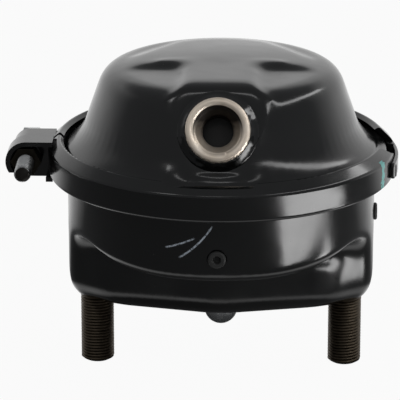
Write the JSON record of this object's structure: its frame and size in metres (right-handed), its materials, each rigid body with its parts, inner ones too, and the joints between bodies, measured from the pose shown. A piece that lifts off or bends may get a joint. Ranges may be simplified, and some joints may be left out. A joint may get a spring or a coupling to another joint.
{
  "type": "air brake chamber",
  "caption": "Pressed steel air brake chamber with a domed air side, clamp ring, sprung push rod, side air port and mounting studs.",
  "frame": {"origin": "centre of the mounting face, on the push rod's axis", "axes": "+Z from the mounting face up to the dome, along the push rod; -Y toward the air port; -X toward the clamp bolt"},
  "size_m": [0.1876, 0.166, 0.154],
  "materials": {
    "black_paint": "gloss black enamel",
    "bare_steel": "turned, dry",
    "weld": "rough bead under gloss black",
    "zinc": "bright zinc plate",
    "dark_phosphate": "black-brown phosphate and oil",
    "rubber": "matt",
    "spring_steel": "dark coated wire"
  },
  "bodies": {
    "chamber": {"pressure_housing": "black_paint", "service_housing": "black_paint", "clamp_band_front": "black_paint", "clamp_band_rear": "black_paint", "clamp_hinge_link": "black_paint", "clamp_bolt": "zinc", "clamp_nut": "dark_phosphate", "clamp_washers": "dark_phosphate", "port_boss": "bare_steel", "port_weld": "weld", "stud_left": "dark_phosphate", "stud_right": "dark_phosphate", "vent_plug_front": "rubber", "vent_plug_right": "rubber", "vent_plug_rear": "rubber", "base_seal": "rubber", "diaphragm": "rubber", "dust_boot": "rubber", "spring_seat": "zinc", "return_spring": "spring_steel"},
    "rod_assembly": {"push_plate": "zinc", "push_rod": "zinc", "boot_clip": "zinc"}
  },
  "joints": [
    {"name": "rod_stroke", "type": "slide", "parent": "chamber", "child": "rod_assembly", "axis": [0, 0, -1], "range_m": [0, 0.057], "stiffness_N_per_m": 1500, "springref_m": -0.03, "deforming": ["diaphragm", "return_spring", "dust_boot"]}
  ]
}
